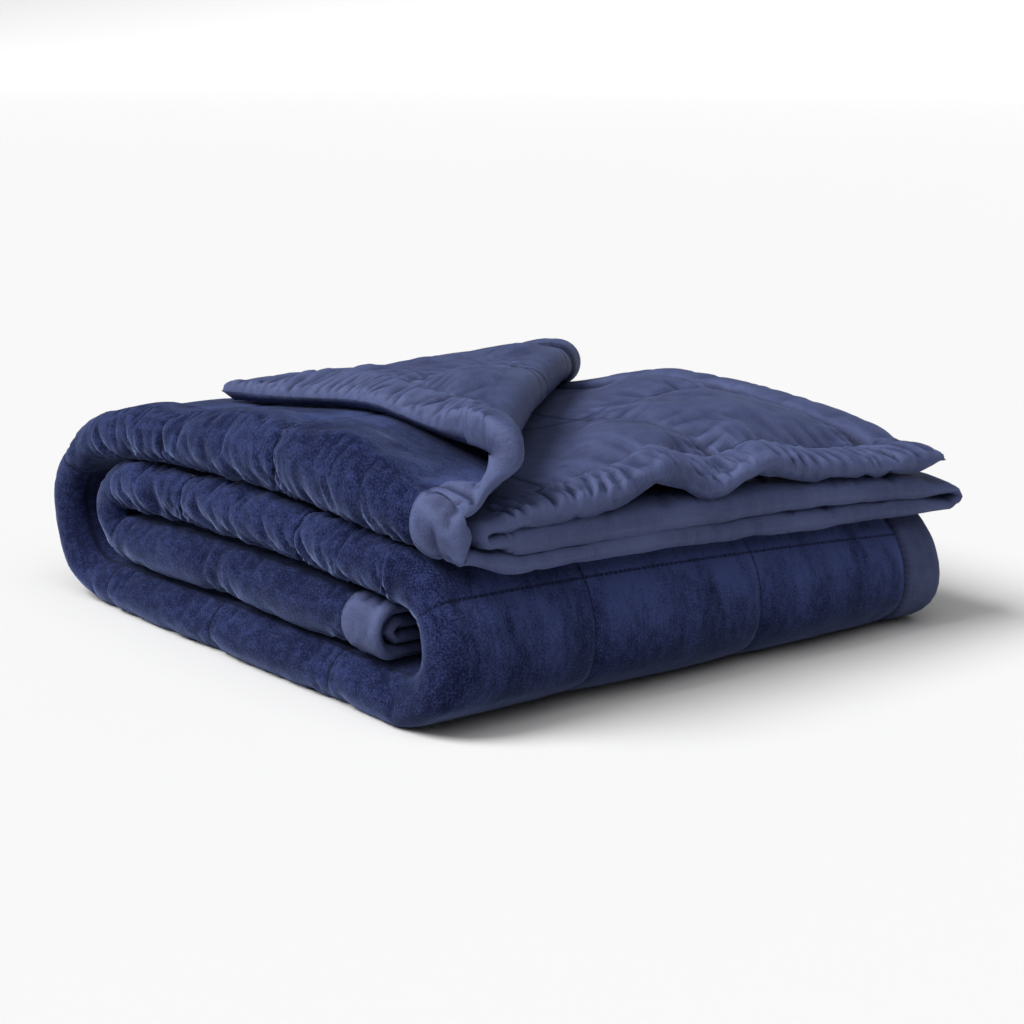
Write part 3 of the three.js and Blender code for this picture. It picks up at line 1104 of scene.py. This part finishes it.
calm = calm_share(point_w, point_l, point_face)
pairs = mesh_rows(blanket.data.edges, "vertices", 2)
normals = mesh_rows(blanket.data.vertices, "normal", 3)
move = (settle(places, np.split(ring_points, cuts), free, point_growth) - places) / MM
broad = move
for _ in range(SWELL_ROUNDS):
    broad = spread(broad, pairs)
softly = ramp(open_points(point_w, point_l, point_face), LEAST_OPEN, OPEN_EASE)
in_hem = ramp(np.minimum(to_edge(point_w), to_edge(point_l)), 0.0, EDGE_REACH)
softly = softly * (1.0 - FRONT_CALM * calm) * (1.0 - EDGE_CALM * (1.0 - in_hem))
move = limited(move - broad, normals) * softly[:, None]
move = softened(move, pairs, MOVE_SPREAD)
places = places + move * MM
places[:, 2] = np.maximum(places[:, 2], 0.0)
blanket.data.vertices.foreach_set("co", places.ravel())
blanket.data.update()
print("settled by up to", np.linalg.norm(move, axis=1).max().round(2), "mm")

# %% Ridges and troughs of the settled cloth
RIDGE = "ridge"
RIDGE_ROUNDS = 2
RIDGE_SPREAD = 0.5
SHARPEST = 0.06
SHORTEST_STEP = 0.5


def ridges(points, pairs, normals):
    """Bend of the cloth at each point, from -1 in a sharp trough to 1 on a sharp ridge."""
    step = np.linalg.norm(points[pairs[:, 0]] - points[pairs[:, 1]], axis=1)
    count = np.maximum(np.bincount(pairs.ravel(), minlength=len(points)), 1)
    mean_step = np.bincount(pairs.ravel(), np.repeat(step, 2), minlength=len(points)) / count
    out = np.sum((points - spread(points, pairs)) * normals, axis=1)
    bend = np.clip(out / np.maximum(mean_step, SHORTEST_STEP) ** 2 / SHARPEST, -1.0, 1.0)[:, None]
    for _ in range(RIDGE_ROUNDS):
        bend = softened(bend, pairs, RIDGE_SPREAD)
    return bend[:, 0]


pairs = mesh_rows(blanket.data.edges, "vertices", 2)
normals = mesh_rows(blanket.data.vertices, "normal", 3)
bend = ridges(places / MM, pairs, normals) * (1.0 - FRONT_CALM * calm)
# Kept on the mesh for the finishes, which paint the ridges lighter and the troughs darker: painted highlight
# and painted shade.
blanket.data.attributes.new(RIDGE, "FLOAT", "POINT").data.foreach_set("value", bend.astype(np.float32))
print("bend of the cloth from", bend.min().round(2), "to", bend.max().round(2))

# %% [markdown]
# ## Finishes
# The plush is short brushed pile: dark when seen into, pale where its tips catch the light, mottled where it
# has been stroked. The microfibre is smooth and a little brighter. Single hairs would be far too many, so
# the pile is colour, sheen and a fine bump. Both finishes read the sheet's own map, in metres, so the
# mottling, the weave and the stitches bend round the folds with the cloth. Some of the colour is painted
# light: both finishes are painted lighter on ridges and darker in troughs, the seams get a wider band of
# painted shade beside the stitches, and the plush gets a painted highlight beside the seams of the top ply.

# %% Shader values as Python numbers
STITCH = 0.005
STITCH_SWING = 0.22
SEAM_EDGE = 1.5
SEWN_PAST = 0.5
PLY_FADE = 0.04
BUMP_DISTANCE = 0.0012


class Value:
    """A number that changes over a surface; sums and products of it become Math nodes."""

    def __init__(self, finish, socket):
        self.finish = finish
        self.socket = socket

    def math(self, operation, *inputs):
        return self.finish.value("ShaderNodeMath", {"operation": operation}, dict(enumerate(inputs)))

    def __add__(self, other):
        return self.math("ADD", self, other)

    def __sub__(self, other):
        return self.math("SUBTRACT", self, other)

    def __rsub__(self, other):
        return self.math("SUBTRACT", other, self)

    def __mul__(self, other):
        return self.math("MULTIPLY", self, other)

    def __truediv__(self, other):
        return self.math("DIVIDE", self, other)

    def __abs__(self):
        return self.math("ABSOLUTE", self)

    def clamped(self):
        return self.finish.value("ShaderNodeClamp", {}, {"Value": self})

    __radd__ = __add__
    __rmul__ = __mul__


class Finish:
    """One material and its nodes."""

    def __init__(self, name):
        self.material = bpy.data.materials.new(name)
        self.material.use_nodes = True
        self.tree = self.material.node_tree
        self.tree.nodes.clear()

    def node(self, kind, settings=None, inputs=None):
        made = self.tree.nodes.new(kind)
        for name, setting in (settings or {}).items():
            setattr(made, name, setting)
        for name, given in (inputs or {}).items():
            given = given.socket if isinstance(given, Value) else given
            if isinstance(given, bpy.types.NodeSocket):
                self.tree.links.new(given, made.inputs[name])
            else:
                made.inputs[name].default_value = given
        return made

    def value(self, kind, settings=None, inputs=None, output=0):
        return Value(self, self.node(kind, settings, inputs).outputs[output])

    def cloth_places(self, stretch):
        """Places on the flat sheet, in metres, stretched so that one pattern unit has these lengths."""
        places = self.node("ShaderNodeUVMap", {"uv_map": SHEET_MAP})
        scale = tuple(1.0 / length for length in stretch) + (1.0,)
        mapping = self.node("ShaderNodeMapping", {}, {"Vector": places.outputs["UV"], "Scale": scale})
        return mapping.outputs["Vector"]

    def noise(self, stretch, detail=2.0, roughness=0.5):
        return self.value("ShaderNodeTexNoise", {"noise_dimensions": "2D"}, {
            "Vector": self.cloth_places(stretch),
            "Scale": 1.0,
            "Detail": detail,
            "Roughness": roughness,
        })

    def ridge(self):
        """Bend of the cloth, from -1 in a trough to 1 on a ridge; the finishes use it for painted shade and
        painted highlight.
        """
        return self.value("ShaderNodeAttribute", {"attribute_name": RIDGE}, output="Fac")

    def seam_lines(self):
        """Distance to the nearest quilt line, place along it and where it is sewn, in both directions."""
        places = self.node("ShaderNodeUVMap", {"uv_map": SHEET_MAP})
        split = self.node("ShaderNodeSeparateXYZ", {}, {"Vector": places.outputs["UV"]})
        w, l = Value(self, split.outputs["X"]), Value(self, split.outputs["Y"])
        lines = []
        for across, along in ((w, l), (l, w)):
            share = (across - BORDER * MM) / (BOX * MM) + 0.5
            distance = abs(share.math("FRACT", share) - 0.5) * (BOX * MM)
            from_middle = abs(along - 0.5 * SIDE * MM)
            sewn = from_middle.math("LESS_THAN", from_middle, (0.5 * SIDE - BORDER + SEWN_PAST) * MM)
            lines.append((distance, along, sewn))
        return lines

    def seam_share(self, width, wander):
        """1 on the quilt lines and 0 off them, broken into stitches, with edges that wander."""
        shares = []
        for distance, along, sewn in self.seam_lines():
            turn = along * (2.0 * math.pi / STITCH)
            stitch = (1.0 - STITCH_SWING) + STITCH_SWING * turn.math("SINE", turn)
            shares.append((SEAM_EDGE - (distance + wander) / width).clamped() * sewn * stitch)
        return shares[0].math("MAXIMUM", shares[0], shares[1])

    def seam_highlight_share(self, reach):
        """Share of painted highlight: 1 on the quilt lines across the top ply, falling to 0 at the reach and
        past that ply.
        """
        distance, w, sewn = self.seam_lines()[1]
        on_ply = ((TOP_PLY * MM - w) / PLY_FADE).clamped()
        beside = (1.0 - distance / reach).clamped() * sewn
        return beside * on_ply

    def blend(self, share, first, second):
        settings = {"data_type": "RGBA", "blend_type": "MIX"}
        mix = self.node("ShaderNodeMix", settings, {"Factor": share, "A": first, "B": second})
        return mix.outputs["Result"]

    def bumped(self, height, strength):
        inputs = {"Strength": strength, "Distance": BUMP_DISTANCE, "Height": height}
        return self.node("ShaderNodeBump", {}, inputs).outputs["Normal"]

    def made(self, inputs):
        """The material, with one surface of these inputs."""
        surface = self.node("ShaderNodeBsdfPrincipled", {}, inputs)
        self.node("ShaderNodeOutputMaterial", {}, {"Surface": surface.outputs["BSDF"]})
        return self.material


print("finish helpers ready")

# %% Plush finish
DEEP_PILE = (0.0031, 0.0050, 0.0240, 1.0)
PILE_TIPS = (0.0290, 0.0410, 0.1220, 1.0)
PILE_SHADE = (0.0022, 0.0030, 0.0120, 1.0)
SHEEN_BLUE = (0.26, 0.335, 0.62, 1.0)
FRONT_SEAM = (BORDER + 7.0 * BOX) * MM
# Painted shade of the seam valleys starts this far from the front seam and fades in over the next length.
VALLEY_SHADE_FROM = 0.08
VALLEY_SHADE_FADE = 0.03
SEAM_WANDER = 0.0014
# Painted highlight: the pile is painted lighter in a band beside the seams across the top ply.
SEAM_HIGHLIGHT_REACH = 0.060
NAP = 0.55
SEAM_HIGHLIGHT_NAP = 1.7
SEAM_HIGHLIGHT_DIP = 0.10
PILE_LEVEL = 1.21


def plush_finish():
    finish = Finish("navy_plush")
    speckle = finish.noise((0.0015, 0.0015), detail=1.0, roughness=0.6)
    tufts = finish.noise((0.006, 0.010), detail=2.0)
    strokes = finish.noise((0.034, 0.080), detail=3.0)
    # Painted highlight: lighter strokes in a band beside the seams of the top ply, on top of the pile's own
    # random mottling.
    seam_highlight = finish.seam_highlight_share(SEAM_HIGHLIGHT_REACH)
    nap_and_seam_highlight = (NAP + SEAM_HIGHLIGHT_NAP * seam_highlight) * strokes - SEAM_HIGHLIGHT_DIP * seam_highlight
    # The bend of the cloth paints the ridges lighter and the troughs darker: painted highlight and painted
    # shade.
    light = 1.3 * speckle + 0.8 * tufts + nap_and_seam_highlight + 0.5 * finish.ridge() - PILE_LEVEL
    colour = finish.blend(light.clamped(), DEEP_PILE, PILE_TIPS)
    seam = finish.seam_share(0.0008, SEAM_WANDER * (finish.noise((0.004, 0.004)) - 0.5))
    # Painted shade: a wider dark band along the seams, away from the front seam, stands in for the shade in
    # the seam valleys.
    _, l, _ = finish.seam_lines()[0]
    off_front = ((abs(l - FRONT_SEAM) - VALLEY_SHADE_FROM) / VALLEY_SHADE_FADE).clamped()
    sunk = finish.seam_share(0.0020, SEAM_WANDER * (tufts - 0.5)) * off_front
    colour = finish.blend(0.75 * sunk, colour, PILE_SHADE)
    colour = finish.blend(0.9 * seam, colour, PILE_SHADE)
    return finish.made({
        "Base Color": colour,
        "Roughness": 0.95,
        "Specular IOR Level": 0.08,
        "Sheen Weight": 0.60,
        "Sheen Roughness": 0.36,
        "Sheen Tint": SHEEN_BLUE,
        "Normal": finish.bumped(0.7 * speckle + 0.5 * tufts, strength=0.35),
    })


# %% Microfibre finish
MICROFIBRE_LOW = (0.0070, 0.0106, 0.0410, 1.0)
MICROFIBRE_HIGH = (0.0540, 0.0690, 0.1560, 1.0)
MICROFIBRE_SHADE = (0.0040, 0.0060, 0.0200, 1.0)
MICROFIBRE_LEVEL = 0.28
VALLEY_SHADE_WANDER = 0.0024
LINE_WANDER = 0.0008


def microfibre_finish():
    finish = Finish("navy_microfibre")
    weave = finish.noise((0.0011, 0.0011), detail=1.0)
    rubbed = finish.noise((0.012, 0.016), detail=3.0)
    broad = finish.noise((0.11, 0.11), detail=2.0)
    # The bend of the cloth paints the ridges lighter and the troughs darker: painted highlight and painted
    # shade.
    light = 0.6 * weave + 0.5 * rubbed + 0.35 * broad + 1.1 * finish.ridge() - MICROFIBRE_LEVEL
    colour = finish.blend(light.clamped(), MICROFIBRE_LOW, MICROFIBRE_HIGH)
    # Painted shade: the wide dark band along the seams stands in for the shade in the seam valleys; the
    # narrow line is the stitching.
    drawn = finish.seam_share(0.0040, VALLEY_SHADE_WANDER * (rubbed - 0.5))
    seam = finish.seam_share(0.0012, LINE_WANDER * (rubbed - 0.5))
    colour = finish.blend(0.7 * drawn, colour, MICROFIBRE_LOW)
    colour = finish.blend(0.85 * seam, colour, MICROFIBRE_SHADE)
    creased = finish.noise((0.009, 0.022), detail=2.0) + finish.noise((0.024, 0.010), detail=2.0)
    return finish.made({
        "Base Color": colour,
        "Roughness": 0.72,
        "Specular IOR Level": 0.25,
        "Sheen Weight": 0.12,
        "Sheen Roughness": 0.45,
        "Sheen Tint": SHEEN_BLUE,
        "Normal": finish.bumped(0.5 * weave + 0.5 * rubbed + 0.8 * creased, strength=0.70),
    })


navy_plush = plush_finish()
navy_microfibre = microfibre_finish()
blanket.data.materials.append(navy_plush)
blanket.data.materials.append(navy_microfibre)
print("finishes on the blanket:", [m.name for m in blanket.data.materials])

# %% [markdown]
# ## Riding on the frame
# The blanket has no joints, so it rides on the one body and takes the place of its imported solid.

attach(blanket, "root")
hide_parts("blanket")

# %% [markdown]
# ## Floor, light and camera
# A pale floor and two large soft lights, as in a plain studio, the stronger from the upper left of the
# camera. A picture of a studio all round would light it too, but two lights are easier to set one by one.

# %% Floor that sweeps up to a low wall all round
FLOOR_RADIUS = 14.0
SWEEP = 2.0
WALL_HEIGHT = 3.0
ROUND_STEPS = 96
SWEEP_STEPS = 12
FLOOR_GREY = (0.56, 0.56, 0.56, 1.0)

bend_angles = np.linspace(0.0, 0.5 * math.pi, SWEEP_STEPS)
radii = np.append(FLOOR_RADIUS + SWEEP * np.sin(bend_angles), FLOOR_RADIUS + SWEEP)
heights = np.append(SWEEP * (1.0 - np.cos(bend_angles)), WALL_HEIGHT)
round_angles = np.linspace(0.0, 2.0 * math.pi, ROUND_STEPS, endpoint=False)
floor_points = [(0.0, 0.0, 0.0)]
for radius, height in zip(radii, heights):
    floor_points += [(radius * math.cos(a), radius * math.sin(a), height) for a in round_angles]
floor_faces = []
for k in range(ROUND_STEPS):
    after = (k + 1) % ROUND_STEPS
    floor_faces.append([0, 1 + k, 1 + after])
    for ring in range(len(radii) - 1):
        inner, outer = 1 + ring * ROUND_STEPS, 1 + (ring + 1) * ROUND_STEPS
        floor_faces.append([inner + k, outer + k, outer + after, inner + after])
floor = mesh_piece("floor", np.array(floor_points), floor_faces)
floor.data.polygons.foreach_set("use_smooth", np.ones(len(floor_faces), bool))
floor_look = {"Base Color": FLOOR_GREY, "Roughness": 0.9, "Specular IOR Level": 0.1}
floor.data.materials.append(Finish("pale_floor").made(floor_look))
print("floor of", FLOOR_RADIUS, "m and a wall of", WALL_HEIGHT, "m")

# %% Camera at the photograph's angle
AZIMUTH = math.radians(-38.5)
ELEVATION = math.radians(13.5)
CAMERA_DISTANCE = 1.880
AIM = (np.array([158.5, 91.2, 107.6]) + SHIFT) * MM
FOCAL_PIXELS = 2240.0
IMAGE_PIXELS = 1024.0
SENSOR = 36.0
AXIS_BELOW_CENTRE = 28.0

back = Vector((
    math.sin(AZIMUTH) * math.cos(ELEVATION),
    -math.cos(AZIMUTH) * math.cos(ELEVATION),
    math.sin(ELEVATION),
))
camera_data = bpy.data.cameras.new("camera")
camera_data.sensor_width = SENSOR
camera_data.lens = SENSOR * FOCAL_PIXELS / IMAGE_PIXELS
camera_data.shift_y = AXIS_BELOW_CENTRE / IMAGE_PIXELS
camera = bpy.data.objects.new("camera", camera_data)
camera.location = Vector(AIM) + CAMERA_DISTANCE * back
camera.rotation_euler = (-back).to_track_quat("-Z", "Y").to_euler()
bpy.context.scene.collection.objects.link(camera)
bpy.context.scene.camera = camera
print("camera at", [round(c, 3) for c in camera.location], "lens", round(camera_data.lens, 2))

# %% Soft studio light
right = Vector((math.cos(AZIMUTH), math.sin(AZIMUTH), 0.0))
toward = Vector((math.sin(AZIMUTH), -math.cos(AZIMUTH), 0.0))
up = Vector((0.0, 0.0, 1.0))
LIGHTS = [  # name, where it comes from, strength, spread in degrees
    ("side light", -0.62 * right + 0.17 * toward + 0.76 * up, 4.75, 34.0),
    ("front light", 0.08 * right + 0.48 * toward + 0.87 * up, 1.75, 70.0),
]
SURROUNDING = 0.05

for name, source, strength, spread_angle in LIGHTS:
    light_data = bpy.data.lights.new(name, "SUN")
    light_data.energy = strength
    light_data.angle = math.radians(spread_angle)
    light = bpy.data.objects.new(name, light_data)
    light.rotation_euler = source.to_track_quat("Z", "Y").to_euler()
    bpy.context.scene.collection.objects.link(light)

world = bpy.data.worlds.new("studio")
world.use_nodes = True
world.node_tree.nodes["Background"].inputs["Color"].default_value = (1.0, 1.0, 1.0, 1.0)
world.node_tree.nodes["Background"].inputs["Strength"].default_value = SURROUNDING
bpy.context.scene.world = world
bpy.context.scene.view_settings.view_transform = "Standard"
print("lights:", [row[0] for row in LIGHTS])
